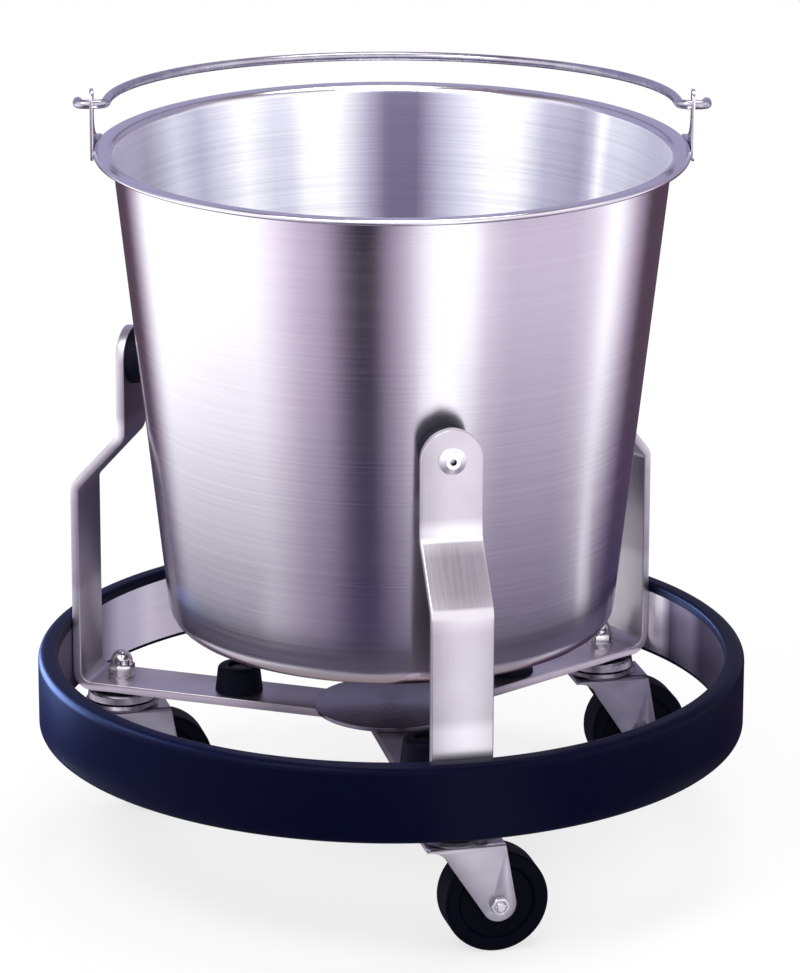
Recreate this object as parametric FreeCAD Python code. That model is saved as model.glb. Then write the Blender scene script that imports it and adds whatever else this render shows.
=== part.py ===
import FreeCAD, Part

import math
import os

# A surgical kick bucket, in millimetres.  A tapered steel pail with a wire bail wedges between
# three rubber pads on the upper ends of a frame of three formed flat-bar legs.  The legs are
# welded to a hub disc in the middle and to a steel hoop outside, which wears a rubber bumper.
# Each foot has a rubber stop block under the pail and a swivel caster below.  Z is up, the
# floor is z = 0 and the Z axis is the axis of the pail and of the hoop.

vec = FreeCAD.Vector

# ---- driving dimensions -------------------------------------------------------------------

# casters
wheel_diameter = 54.0
wheel_width = 20.0
wheel_hub_width = 22.4
wheel_hub_radius = 9.0
wheel_dish_depth = 1.6
wheel_dish_radius = 19.8
wheel_crown = 2.2
wheel_edge = 1.0
caster_trail = 21.0
trail_azimuth = 13.5
wheel_to_fork_top = 3.7
fork_thickness = 2.3
fork_bend = 2.7
fork_axle_radius = 9.0
fork_front_reach = 16.5
fork_rear_reach = 24.3
fork_waist_reach = 26.0
fork_waist_drop = 9.5
fork_flare_depth = 2.5
axle_diameter = 6.35
axle_head_radius = 5.2
axle_head_height = 2.8
axle_nut_flats = 8.8
axle_nut_height = 3.6
axle_end_past_nut = 1.2
head_round = 1.5
bushing_diameter = 9.5
kingpin_diameter = 7.94
kingpin_head_radius = 6.6
kingpin_head_height = 3.6
race_sheet = 2.0
lower_race_radius = 20.0
lower_race_rise = 2.6
lower_race_bend = 2.5
lower_race_edge_width = 4.2
upper_race_radius = 18.6
upper_race_skirt = 2.4
race_boss_radius = 7.6
race_seat_height = 1.4
race_edge = 1.0
ball_diameter = 5.5
ball_count = 10
ball_circle_radius = 12.5

# fits and clearances
running_gap = 0.08
side_gap = 0.35
rest_gap = 0.3

# frame
bar_width = 31.75
bar_thickness = 4.8
bar_start_radius = 10.0
leg_azimuths = {"front": -78.7, "right": 41.3, "left": 161.3}
caster_inset = 22.0
foot_bend = 8.0
joggle_bend = 7.0
joggle_bottom_height = 185.2
joggle_top_height = 215.2
rivet_height = 257.0
hub_disc_radius = 40.8
hub_disc_thickness = 2.5

# hoop and bumper
hoop_inner_radius = 176.2
hoop_thickness = 3.0
bumper_thickness = 7.6
bumper_drop = 1.2
bumper_height = 40.7
bumper_top_lip = 5.0
bumper_bottom_lip = 2.0
bumper_top_round = 4.4
bumper_bottom_round = 3.0

# fasteners of the frame
washer_radius = 7.4
washer_thickness = 1.6
dome_nut_flats = 12.7
dome_nut_hex_height = 5.6
dome_nut_radius = 5.9
dome_nut_height = 13.0
stem_above_washer = 8.4
rivet_head_radius = 7.0
rivet_head_height = 2.6
rivet_shank_radius = 3.2
rivet_hole_radius = 1.5
rivet_hole_depth = 3.5
rivet_grip = 7.0
block_screw_radius = 2.4
block_screw_head_radius = 5.0
block_screw_head_height = 2.8
block_screw_recess = 4.2
block_screw_recess_radius = 5.8
block_screw_past_bar = 1.0

# rubber pads that carry the pail and stop blocks under it
wall_pad_radius = 15.0
wall_pad_thickness = 12.8
wall_pad_taper = 1.6
block_circle_radius = 86.0
block_height = 14.0
block_top_radius = 11.2
block_bottom_radius = 12.8
block_edge = 2.4

# pail
pail_above_blocks = 37.1
pail_height = 254.0
pail_wall = 0.9
pail_top_radius = 144.2
pail_base_radius = 116.4
pail_corner = 11.5
rim_flange = 9.2
rim_fillet = 4.0
hem_radius = 1.5
base_panel_radius = 62.0
base_panel_rise = 2.5
base_panel_bend = 3.0

# ears and bail
bail_azimuth = 0.0
ear_thickness = 1.6
ear_foot_length = 30.0
ear_blade_width = 11.5
ear_flare = 15.0
ear_flare_rise = 5.5
ear_corner = 2.4
ear_below_rim = 6.5
ear_above_rim = 30.5
bail_pivot_above_rim = 22.3
bail_wire_diameter = 4.8
bail_hole_gap = 0.5
bail_inside_rim = 6.4
bail_end_bend = 6.0
bail_hook_gap = 4.2
bail_hook_bend = 4.4
bail_hook_length = 9.0
bail_droop = 3.1

# ---- levels and radii that follow from them -----------------------------------------------

axle_height = wheel_diameter / 2
fork_half_gap = wheel_hub_width / 2 + side_gap
fork_half_width = fork_half_gap + fork_thickness
fork_top_inside = wheel_diameter + wheel_to_fork_top
fork_top = fork_top_inside + fork_thickness
ball_radius = ball_diameter / 2
ball_centre_height = fork_top + race_sheet + ball_radius
upper_race_inside = ball_centre_height + ball_radius + rest_gap
upper_race_top = upper_race_inside + race_sheet
bar_bottom = upper_race_top + race_seat_height
bar_top = bar_bottom + bar_thickness
hub_top = bar_top + hub_disc_thickness
leg_face_radius = math.sqrt(hoop_inner_radius ** 2 - (bar_width / 2) ** 2)
caster_radius = leg_face_radius - caster_inset
hoop_outer_radius = hoop_inner_radius + hoop_thickness
bumper_radius = hoop_outer_radius + bumper_thickness
bumper_bottom = bar_bottom - bumper_drop
bumper_top = bumper_bottom + bumper_height
pail_base = bar_top + block_height + pail_above_blocks
rim_height = pail_base + pail_height
pail_slope = (pail_top_radius - pail_base_radius) / pail_height
wall_at_rivet = pail_base_radius + (rivet_height - pail_base) * pail_slope
upper_face_radius = wall_at_rivet + rest_gap + wall_pad_thickness + bar_thickness
pivot_height = rim_height + bail_pivot_above_rim
rim_radius = pail_top_radius + rim_flange
ear_outer_radius = rim_radius + ear_thickness
bail_radius = rim_radius - bail_inside_rim
bail_wire_radius = bail_wire_diameter / 2
bail_hook_radius = ear_outer_radius + bail_hook_gap + bail_wire_radius


# ---- helpers ------------------------------------------------------------------------------

def front_plane(u, v):
    """Point of the XZ plane: u is the radius or X, v the height."""
    return vec(u, 0, v)


def side_plane(u, v):
    """Point of the YZ plane."""
    return vec(0, u, v)


def floor_plane(u, v):
    """Point of the XY plane."""
    return vec(u, v, 0)


def rounded_edges(corners, plane, closed):
    """Straight edges through the corners (u, v, radius), with tangent arcs where radius > 0."""
    points = [plane(u, v) for u, v, _ in corners]
    radii = [radius for _, _, radius in corners]
    count = len(points)
    starts = []
    ends = []
    arcs = []
    for index, point in enumerate(points):
        inner_corner = closed or 0 < index < count - 1
        if radii[index] <= 0 or not inner_corner:
            starts.append(point)
            ends.append(point)
            arcs.append(None)
            continue
        back = (points[index - 1] - point).normalize()
        ahead = (points[(index + 1) % count] - point).normalize()
        half_angle = back.getAngle(ahead) / 2
        reach = radii[index] / math.tan(half_angle)
        middle = (back + ahead).normalize() * (radii[index] / math.sin(half_angle) - radii[index])
        starts.append(point + back * reach)
        ends.append(point + ahead * reach)
        arcs.append(Part.Arc(starts[-1], point + middle, ends[-1]).toShape())
    edges = []
    for index in range(count):
        if arcs[index]:
            edges.append(arcs[index])
        follows = (index + 1) % count
        if follows == 0 and not closed:
            break
        if ends[index].distanceToPoint(starts[follows]) > 1e-6:
            edges.append(Part.makeLine(ends[index], starts[follows]))
    return edges


def face_of(corners, plane=front_plane):
    """Flat face inside a closed outline of rounded corners."""
    return Part.Face(Part.Wire(rounded_edges(corners, plane, True)))


def offset_corners(path, distance):
    """The path's corners moved to its left by distance, with the bend radii following."""
    moved = []
    for index, (u, v, radius) in enumerate(path):
        here = vec(u, v, 0)
        directions = []
        if index > 0:
            directions.append((here - vec(*path[index - 1][:2], 0)).normalize())
        if index < len(path) - 1:
            directions.append((vec(*path[index + 1][:2], 0) - here).normalize())
        first = directions[0]
        last = directions[-1]
        normal_first = vec(-first.y, first.x, 0)
        normal_last = vec(-last.y, last.x, 0)
        mitre = (normal_first + normal_last) * (distance / (1 + normal_first.dot(normal_last)))
        turn = first.cross(last).z
        new_radius = radius - math.copysign(distance, turn) if radius > 0 else 0
        moved.append((u + mitre.x, v + mitre.y, new_radius))
    return moved


def strip_face(path, left, right, plane=front_plane):
    """Section of bent sheet: the band from left to right of a path of rounded corners."""
    outline = offset_corners(path, left) + offset_corners(path, -right)[::-1]
    return face_of(outline, plane)


def revolved(face):
    """Full turn of a section in the XZ plane about the Z axis."""
    return face.revolve(vec(0, 0, 0), vec(0, 0, 1), 360)


def upright(radius, bottom, top, x=0.0):
    """Vertical cylinder at (x, 0) between two levels."""
    return Part.makeCylinder(radius, top - bottom, vec(x, 0, bottom))


def sideways(radius, start, end, x, height):
    """Cylinder along Y at (x, height) between two Y values."""
    return Part.makeCylinder(radius, end - start, vec(x, start, height), vec(0, 1, 0))


def outward(radius, start, end, height):
    """Cylinder along X between two radii, at a height."""
    return Part.makeCylinder(radius, end - start, vec(start, 0, height), vec(1, 0, 0))


def hexagon(flats, height):
    """Upright hexagonal prism on z = 0."""
    corner_radius = flats / math.sqrt(3)
    corners = [vec(corner_radius * math.cos(math.radians(60 * turn)),
                   corner_radius * math.sin(math.radians(60 * turn)), 0) for turn in range(7)]
    return Part.Face(Part.makePolygon(corners)).extrude(vec(0, 0, height))


def chamfered_hexagon(flats, height, both_ends):
    """Hexagonal nut blank with its corners turned off at the top, or at both ends."""
    tip = flats / math.sqrt(3)
    cut = (tip - flats / 2) * 0.8
    low = cut if both_ends else 0
    section = [(0, 0, 0), (tip - low, 0, 0), (tip, low, 0), (tip, height - cut, 0),
               (tip - cut, height, 0), (0, height, 0)]
    return hexagon(flats, height).common(revolved(face_of(drop_repeats(section))))


def drop_repeats(corners):
    """The corners without those that fall on the one before."""
    kept = [corners[0]]
    for corner in corners[1:]:
        if math.dist(corner[:2], kept[-1][:2]) > 1e-6:
            kept.append(corner)
    return kept


def turned(shape, azimuth):
    """Copy of a shape turned about the Z axis."""
    copy = shape.copy()
    copy.rotate(vec(0, 0, 0), vec(0, 0, 1), azimuth)
    return copy


def pail_radius_at(height):
    """Outside radius of the pail's straight wall at a height above the floor."""
    return wall_at_rivet + (height - rivet_height) * pail_slope


# ---- frame --------------------------------------------------------------------------------

def leg_bar():
    """One-piece flat bar: foot from the hub, upright inside the hoop, joggle and round end."""
    middle = bar_thickness / 2
    foot = bar_bottom + middle
    lower = leg_face_radius - middle
    upper = upper_face_radius - middle
    top = rivet_height + bar_width / 2
    path = [(bar_start_radius, foot, 0), (lower, foot, foot_bend),
            (lower, joggle_bottom_height, joggle_bend), (upper, joggle_top_height, joggle_bend),
            (upper, top, 0)]
    bar = strip_face(path, middle, middle).extrude(vec(0, bar_width, 0))
    bar.translate(vec(0, -bar_width / 2, 0))
    return bar.common(leg_end_blank(top)).cut(leg_holes())


def leg_end_blank(top):
    """Block that keeps the whole bar and rounds its upper end about the rivet."""
    half = bar_width / 2
    side = [(-half, 0, 0), (half, 0, 0), (half, top, half), (-half, top, half)]
    body = face_of(side, side_plane).extrude(vec(hoop_inner_radius, 0, 0))
    return body


def leg_holes():
    """Bores for the kingpin, the stop-block screw and the pad rivet."""
    kingpin = upright(kingpin_diameter / 2, 0, bar_top + bar_thickness, caster_radius)
    screw = upright(block_screw_radius, 0, bar_top + bar_thickness, block_circle_radius)
    rivet = outward(rivet_shank_radius, pail_base_radius, hoop_inner_radius, rivet_height)
    return kingpin.fuse(screw).fuse(rivet)


def hub_disc():
    """Round plate welded on top of the three feet."""
    return upright(hub_disc_radius, bar_top, hub_top)


def hoop_band():
    """Flat steel hoop welded to the outside of the three uprights."""
    low = bumper_bottom + bumper_bottom_lip
    high = bumper_top - bumper_top_lip
    return revolved(face_of([(hoop_inner_radius, low, 0), (hoop_outer_radius, low, 0),
                             (hoop_outer_radius, high, 0), (hoop_inner_radius, high, 0)]))


def bumper_strip():
    """Rubber strip of C section: it covers the hoop's outside and laps both edges."""
    low = bumper_bottom + bumper_bottom_lip
    high = bumper_top - bumper_top_lip
    section = [(hoop_inner_radius, high, 0), (hoop_inner_radius, bumper_top, bumper_top_lip * 0.45),
               (bumper_radius, bumper_top, bumper_top_round),
               (bumper_radius, bumper_bottom, bumper_bottom_round),
               (hoop_inner_radius, bumper_bottom, bumper_bottom_lip * 0.45),
               (hoop_inner_radius, low, 0), (hoop_outer_radius, low, 0), (hoop_outer_radius, high, 0)]
    return revolved(face_of(section))


def wall_pad():
    """Round rubber pad between a leg's upper end and the pail, its face following the wall."""
    start = upper_face_radius - bar_thickness
    deepest = pail_radius_at(rivet_height - wall_pad_radius)
    blank = Part.makeCone(wall_pad_radius, wall_pad_radius - wall_pad_taper, start - deepest,
                          vec(start, 0, rivet_height), vec(-1, 0, 0))
    low = rivet_height - 2 * wall_pad_radius
    high = rivet_height + 2 * wall_pad_radius
    pail_room = Part.makeCone(pail_radius_at(low) + rest_gap, pail_radius_at(high) + rest_gap,
                              high - low, vec(0, 0, low))
    shank = outward(rivet_shank_radius, upper_face_radius - rivet_grip - bar_thickness, start, rivet_height)
    return blank.cut(pail_room).cut(shank)


def pad_rivet():
    """Semi-tubular rivet: domed head outside the bar, shank through it into the pad."""
    tip = -rivet_grip - bar_thickness
    section = [(rivet_hole_radius, -rivet_hole_depth, 0), (rivet_hole_radius, rivet_head_height, 0),
               (rivet_head_radius * 0.55, rivet_head_height, head_round),
               (rivet_head_radius, rivet_head_height * 0.25, 0), (rivet_head_radius, 0, 0),
               (rivet_shank_radius, 0, 0), (rivet_shank_radius, tip, 0), (0, tip, 0),
               (0, -rivet_hole_depth, 0)]
    rivet = revolved(face_of(section))
    rivet.rotate(vec(0, 0, 0), vec(0, 1, 0), 90)
    rivet.translate(vec(upper_face_radius, 0, rivet_height))
    return rivet


def rest_block():
    """Tapered rubber stop block on the foot, with a recess and a bore for its screw."""
    top = bar_top + block_height
    section = [(0, bar_top, 0), (block_bottom_radius, bar_top, 0), (block_top_radius, top, block_edge),
               (0, top, 0)]
    bore = upright(block_screw_radius, bar_top, top)
    recess = upright(block_screw_recess_radius, top - block_screw_recess, top)
    block = revolved(face_of(section)).cut(bore).cut(recess)
    block.translate(vec(block_circle_radius, 0, 0))
    return block


def block_screw():
    """Pan-head screw in the block's recess, tapped through the foot."""
    seat = bar_top + block_height - block_screw_recess
    head_top = seat + block_screw_head_height
    tip = bar_bottom - block_screw_past_bar
    section = [(0, tip, 0), (block_screw_radius, tip, 0), (block_screw_radius, seat, 0),
               (block_screw_head_radius, seat, 0), (block_screw_head_radius, head_top, head_round),
               (0, head_top, 0)]
    screw = revolved(face_of(section))
    screw.translate(vec(block_circle_radius, 0, 0))
    return screw


# ---- casters, modelled with the swivel axis on Z and the wheel trailing along +X ------------

def kingpin():
    """Caster bolt: head inside the fork, shank up through both races and the foot."""
    head_top = fork_top_inside - rest_gap
    head_bottom = head_top - kingpin_head_height
    shank = kingpin_diameter / 2
    top = bar_top + washer_thickness + stem_above_washer
    section = [(0, head_bottom, 0), (kingpin_head_radius, head_bottom, head_round),
               (kingpin_head_radius, head_top, 0), (shank, head_top, 0), (shank, top, 0), (0, top, 0)]
    return revolved(face_of(section))


def lock_washer():
    """Spring washer under the dome nut, split on one side."""
    low = bar_top
    ring = upright(washer_radius, low, low + washer_thickness).cut(
        upright(kingpin_diameter / 2, low, low + washer_thickness))
    split = Part.makeBox(washer_radius, 0.8, 3 * washer_thickness, vec(0, 0, low - washer_thickness))
    return ring.cut(split)


def dome_nut():
    """Acorn nut: hexagon with a round cap and a blind bore."""
    low = bar_top + washer_thickness
    hexagon_part = chamfered_hexagon(dome_nut_flats, dome_nut_hex_height, False)
    neck = dome_nut_height - dome_nut_radius
    cap = Part.makeCylinder(dome_nut_radius, neck).fuse(
        Part.makeSphere(dome_nut_radius, vec(0, 0, neck)))
    nut = hexagon_part.fuse(cap.common(Part.makeCylinder(dome_nut_radius, dome_nut_height)))
    nut = nut.cut(Part.makeCylinder(kingpin_diameter / 2, stem_above_washer + 1))
    nut.translate(vec(0, 0, low))
    return nut


def upper_race():
    """Inverted saucer under the foot, with a boss that spaces it on the kingpin."""
    bore = kingpin_diameter / 2
    boss_bottom = fork_top + race_sheet + rest_gap
    skirt_bottom = upper_race_inside - upper_race_skirt
    skirt = race_sheet * 0.8
    section = [(bore, boss_bottom, 0), (race_boss_radius, boss_bottom, 0),
               (race_boss_radius, upper_race_inside, 0),
               (upper_race_radius - skirt * 1.4, upper_race_inside, race_edge),
               (upper_race_radius - skirt, skirt_bottom, 0), (upper_race_radius, skirt_bottom, 0),
               (upper_race_radius - skirt * 0.4, upper_race_top, 1.5 * race_edge),
               (race_boss_radius + race_seat_height, upper_race_top, 0),
               (race_boss_radius, bar_bottom, 0), (bore, bar_bottom, 0)]
    return revolved(face_of(section))


def lower_race():
    """Saucer on top of the fork that the balls run on, with a turned-up edge."""
    bore = kingpin_diameter / 2 + running_gap
    rise_start = lower_race_radius - lower_race_edge_width
    path = [(bore, fork_top, 0), (rise_start, fork_top, lower_race_bend),
            (lower_race_radius, fork_top + lower_race_rise, 0)]
    return revolved(strip_face(path, race_sheet, 0))


def race_balls():
    """Ring of steel balls between the two races."""
    balls = []
    for index in range(ball_count):
        ball = Part.makeSphere(ball_radius, vec(ball_circle_radius, 0, ball_centre_height))
        balls.append(turned(ball, 360 * index / ball_count))
    return Part.makeCompound(balls)


def fork():
    """Pressed fork: sheet bent over the wheel, its legs tapering to round ends at the axle."""
    middle = fork_thickness / 2
    leg = fork_half_gap + middle
    roof = fork_top - middle
    bottom = axle_height - 2 * fork_axle_radius
    bend = fork_bend + middle
    path = [(leg, bottom, 0), (leg, roof, bend), (-leg, roof, bend), (-leg, bottom, 0)]
    channel = strip_face(path, middle, middle, side_plane).extrude(vec(2 * wheel_diameter, 0, 0))
    channel.translate(vec(-wheel_diameter, 0, 0))
    blank = fork_outline().extrude(vec(0, 2 * fork_half_width, 0))
    blank.translate(vec(0, -fork_half_width, 0))
    holes = upright(kingpin_diameter / 2 + running_gap, fork_top_inside - 1, fork_top + 1).fuse(
        sideways(axle_diameter / 2, -fork_half_width, fork_half_width, caster_trail, axle_height))
    return channel.common(blank).cut(holes)


def fork_outline():
    """Side view of the fork: roof, flared front edge, round end about the axle, rear edge."""
    flare_foot = vec(caster_trail - fork_waist_reach, 0, fork_top - fork_waist_drop)
    axle = vec(caster_trail, 0, axle_height)
    rear = vec(fork_rear_reach, 0, fork_top)
    front_tangent = tangent_point(flare_foot, axle, fork_axle_radius, 1)
    rear_tangent = tangent_point(rear, axle, fork_axle_radius, -1)
    front = vec(-fork_front_reach, 0, fork_top)
    flare_start = vec(-fork_front_reach, 0, fork_top - fork_thickness)
    flare_middle = (flare_start + flare_foot) * 0.5 + vec(0.64, 0, 0.77) * fork_flare_depth
    edges = [Part.makeLine(rear, front), Part.makeLine(front, flare_start),
             Part.Arc(flare_start, flare_middle, flare_foot).toShape(),
             Part.makeLine(flare_foot, front_tangent),
             Part.Arc(front_tangent, axle - vec(0, 0, fork_axle_radius), rear_tangent).toShape(),
             Part.makeLine(rear_tangent, rear)]
    return Part.Face(Part.Wire(edges))


def tangent_point(outside, centre, radius, side):
    """Where a line from a point touches a circle in the XZ plane."""
    away = outside - centre
    base = math.atan2(away.z, away.x)
    swing = math.acos(radius / away.Length)
    angle = base + side * swing
    return centre + vec(radius * math.cos(angle), 0, radius * math.sin(angle))


def axle_bolt():
    """Bolt through the fork, its head on the far leg and a domed end past the nut."""
    shank = axle_diameter / 2
    start = -fork_half_width - axle_nut_height - axle_end_past_nut
    end = fork_half_width + axle_head_height
    section = [(0, start, 0), (shank, start, head_round), (shank, fork_half_width, 0),
               (axle_head_radius, fork_half_width, 0), (axle_head_radius, end, head_round), (0, end, 0)]
    return on_axle(revolved(face_of(section)))


def axle_nut():
    """Hexagon nut on the near fork leg."""
    nut = chamfered_hexagon(axle_nut_flats, axle_nut_height, True)
    nut = nut.cut(Part.makeCylinder(axle_diameter / 2, axle_nut_height))
    nut.translate(vec(0, 0, -fork_half_width - axle_nut_height))
    return on_axle(nut)


def axle_bushing():
    """Steel tube clamped between the fork legs, which the wheel turns on."""
    tube = Part.makeCylinder(bushing_diameter / 2, 2 * fork_half_gap, vec(0, 0, -fork_half_gap))
    bore = Part.makeCylinder(axle_diameter / 2, 2 * fork_half_gap, vec(0, 0, -fork_half_gap))
    return on_axle(tube.cut(bore))


def wheel():
    """Solid wheel with a crowned tread, dished sides and a raised hub."""
    bore = bushing_diameter / 2 + running_gap
    half = wheel_width / 2
    hub = wheel_hub_width / 2
    tread = wheel_diameter / 2
    dish = half - wheel_dish_depth
    right = [(bore, -hub, 0), (wheel_hub_radius, -hub, wheel_edge),
             (wheel_hub_radius + wheel_edge, -dish, wheel_edge),
             (wheel_dish_radius - wheel_edge, -dish, wheel_edge),
             (wheel_dish_radius, -half, wheel_edge), (tread, -half, wheel_crown)]
    left = [(radius, -level, bend) for radius, level, bend in right[::-1]]
    return on_axle(revolved(face_of(right + left)))


def on_axle(shape):
    """Shape modelled about Z laid along Y on the caster's axle."""
    laid = shape.copy()
    laid.rotate(vec(0, 0, 0), vec(1, 0, 0), -90)
    laid.translate(vec(caster_trail, 0, axle_height))
    return laid


def under_leg(shape, azimuth):
    """Caster piece turned to the trail direction and moved under a leg."""
    moved = turned(shape, trail_azimuth)
    angle = math.radians(azimuth)
    moved.translate(vec(caster_radius * math.cos(angle), caster_radius * math.sin(angle), 0))
    return moved


# ---- pail, ears and bail ------------------------------------------------------------------

def pail_shell():
    """Spun pail: recessed base panel, tapered wall and out-turned flange with a rolled hem."""
    flange_end = rim_radius - hem_radius
    corner_u = pail_base_radius + pail_slope * base_panel_rise
    path = [(0, pail_base + base_panel_rise, 0),
            (base_panel_radius - base_panel_rise, pail_base + base_panel_rise, base_panel_bend),
            (base_panel_radius + base_panel_rise, pail_base, base_panel_bend),
            (corner_u - pail_slope * base_panel_rise, pail_base, pail_corner),
            (pail_top_radius, rim_height - pail_wall, rim_fillet),
            (flange_end, rim_height - pail_wall, 0)]
    shell = revolved(strip_face(path, pail_wall, 0))
    hem = Part.makeTorus(rim_radius - hem_radius, hem_radius, vec(0, 0, rim_height - hem_radius))
    return shell.fuse(hem).removeSplitter()


def ear():
    """Right ear: its foot runs back along the hem and its blade stands at the front end."""
    low = rim_height - ear_below_rim
    high = rim_height + ear_above_rim
    blade = ear_blade_width / 2
    shoulder = rim_height
    waist = rim_height + ear_flare_rise
    outline = [(-blade, low, ear_corner), (ear_foot_length, low, ear_corner),
               (ear_foot_length, shoulder, ear_corner), (blade, waist, ear_flare),
               (blade, high, blade * 0.98), (-blade, high, blade * 0.98)]
    blank = face_of(outline, side_plane).extrude(vec(2 * rim_radius, 0, 0))
    ring = upright(ear_outer_radius, low, high).cut(upright(rim_radius, low, high))
    hole = outward(bail_wire_radius + bail_hole_gap, bail_radius, bail_hook_radius, pivot_height)
    return ring.common(blank).cut(hole)


def bail():
    """Wire bail: half circle whose ends pass out through the ears and hook back outside."""
    tip = bail_hook_length
    start = bail_end_bend
    corners = [(bail_hook_radius, tip, 0), (bail_hook_radius, 0, bail_hook_bend),
               (bail_radius, 0, bail_end_bend), (bail_radius, start, 0)]
    right = rounded_edges(corners, floor_plane, False)
    mirrored = [(-u, v, radius) for u, v, radius in corners[::-1]]
    left = rounded_edges(mirrored, floor_plane, False)
    arch = Part.Arc(vec(bail_radius, start, 0), vec(0, bail_radius + start, 0), vec(-bail_radius, start, 0))
    path = Part.Wire(right + [arch.toShape()] + left)
    section = Part.Wire(Part.makeCircle(bail_wire_radius, vec(bail_hook_radius, tip, 0), vec(0, 1, 0)))
    wire = path.makePipeShell([section], True, False)
    wire.rotate(vec(0, 0, 0), vec(1, 0, 0), -bail_droop)
    wire.translate(vec(0, 0, pivot_height))
    return wire


# ---- the assembly -------------------------------------------------------------------------

def frame_nodes():
    nodes = {"hub_disc": hub_disc(), "hoop_band": hoop_band(), "bumper_strip": bumper_strip()}
    per_leg = {"leg": leg_bar(), "wall_pad": wall_pad(), "pad_rivet": pad_rivet(),
               "rest_block": rest_block()}
    for side, azimuth in leg_azimuths.items():
        for name, shape in per_leg.items():
            nodes[name + "_" + side] = turned(shape, azimuth)
    screws = [turned(block_screw(), azimuth) for azimuth in leg_azimuths.values()]
    nodes["block_screws"] = Part.makeCompound(screws)
    return nodes


def caster_nodes():
    per_caster = {"kingpin": kingpin(), "dome_nut": dome_nut(), "upper_race": upper_race(),
                  "lower_race": lower_race(), "race_balls": race_balls(), "fork": fork(),
                  "axle_bolt": axle_bolt(), "axle_nut": axle_nut(), "axle_bushing": axle_bushing(),
                  "wheel": wheel()}
    nodes = {}
    for side, azimuth in leg_azimuths.items():
        for name, shape in per_caster.items():
            nodes[name + "_" + side] = under_leg(shape, azimuth)
    washers = [under_leg(lock_washer(), azimuth) for azimuth in leg_azimuths.values()]
    nodes["lock_washers"] = Part.makeCompound(washers)
    return nodes


def pail_nodes():
    mirrored_ear = ear().mirror(vec(0, 0, 0), vec(1, 0, 0))
    return {"pail_shell": pail_shell(),
            "ear_right": turned(ear(), bail_azimuth),
            "ear_left": turned(mirrored_ear, bail_azimuth),
            "bail_handle": turned(bail(), bail_azimuth)}


nodes = {**frame_nodes(), **caster_nodes(), **pail_nodes()}
os.makedirs("parts", exist_ok=True)
for name, shape in nodes.items():
    shape.exportStep("parts/" + name + ".step")
    box = shape.BoundBox
    print(name, len(shape.Solids), "solid(s)", shape.isValid(), round(shape.Volume),
          "z", round(box.ZMin, 1), "to", round(box.ZMax, 1))
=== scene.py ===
import math

import bmesh
import bpy
from mathutils import Matrix, Vector


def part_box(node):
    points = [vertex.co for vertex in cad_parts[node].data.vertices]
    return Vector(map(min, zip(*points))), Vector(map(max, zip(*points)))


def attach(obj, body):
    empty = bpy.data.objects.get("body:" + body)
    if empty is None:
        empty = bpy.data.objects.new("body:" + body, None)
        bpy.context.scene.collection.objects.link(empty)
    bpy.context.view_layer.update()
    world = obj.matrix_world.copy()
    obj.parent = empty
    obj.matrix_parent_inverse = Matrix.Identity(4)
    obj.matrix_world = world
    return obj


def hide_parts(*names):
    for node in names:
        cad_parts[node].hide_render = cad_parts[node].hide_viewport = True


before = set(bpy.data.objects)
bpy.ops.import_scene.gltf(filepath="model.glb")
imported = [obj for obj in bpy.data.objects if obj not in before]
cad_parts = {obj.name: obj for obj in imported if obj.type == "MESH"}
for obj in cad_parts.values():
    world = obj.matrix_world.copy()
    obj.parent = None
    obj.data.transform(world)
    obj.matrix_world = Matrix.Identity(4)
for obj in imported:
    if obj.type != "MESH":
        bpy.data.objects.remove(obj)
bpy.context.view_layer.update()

MM = 0.001

# ---- sizes read from the frame -----------------------------------------------------------

pail_low, pail_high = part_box("pail_shell")
band_low, band_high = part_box("hoop_band")
bumper_low, bumper_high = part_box("bumper_strip")
disc_low, disc_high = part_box("hub_disc")
block_low, block_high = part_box("rest_block_front")

RIM_RADIUS = pail_high.x
RIM_HEIGHT = pail_high.z
PAIL_BASE = pail_low.z
HOOP_OUTSIDE = band_high.x
BAR_TOP = disc_low.z
LEG_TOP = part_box("leg_front")[1].z

# ---- sizes of the pieces that are built here ---------------------------------------------

PAIL_WALL = 0.9 * MM
PAIL_TOP_RADIUS = 144.2 * MM
PAIL_BASE_RADIUS = 116.4 * MM
PAIL_CORNER = 11.5 * MM
PAIL_SLOPE = (PAIL_TOP_RADIUS - PAIL_BASE_RADIUS) / (RIM_HEIGHT - PAIL_BASE)
PAIL_LONGEST_RUN = 12 * MM
RIM_FILLET = 4 * MM
HEM_RADIUS = 1.5 * MM
HEM_TURNS = range(-215, 96, 15)
FLANGE_END = RIM_RADIUS - 1.6 * HEM_RADIUS
PANEL_RADIUS = 62 * MM
PANEL_RISE = 2.5 * MM
PANEL_BEND = 3 * MM

BAR_WIDTH = 31.75 * MM
BAR_THICKNESS = 4.8 * MM
BAR_START = 10 * MM
BAR_EDGE = 0.7 * MM
FOOT_BEND = 8 * MM
JOGGLE_BEND = 7 * MM
JOGGLE_BOTTOM = 185.2 * MM
JOGGLE_TOP = 215.2 * MM
LEG_LONGEST_RUN = 14 * MM
LEG_END_STEPS = 12
LEG_END_LEAST = 0.4 * MM
RIVET_HEIGHT = LEG_TOP - BAR_WIDTH / 2
HOOP_THICKNESS = 3 * MM
HOOP_INSIDE = HOOP_OUTSIDE - HOOP_THICKNESS
LOWER_FACE = math.sqrt(HOOP_INSIDE ** 2 - (BAR_WIDTH / 2) ** 2)
PAD_THICKNESS = 12.8 * MM
REST_GAP = 0.3 * MM
UPPER_FACE = (PAIL_BASE_RADIUS + (RIVET_HEIGHT - PAIL_BASE) * PAIL_SLOPE
              + REST_GAP + PAD_THICKNESS + BAR_THICKNESS)
LEG_AZIMUTHS = {"front": -78.7, "right": 41.3, "left": 161.3}

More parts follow.
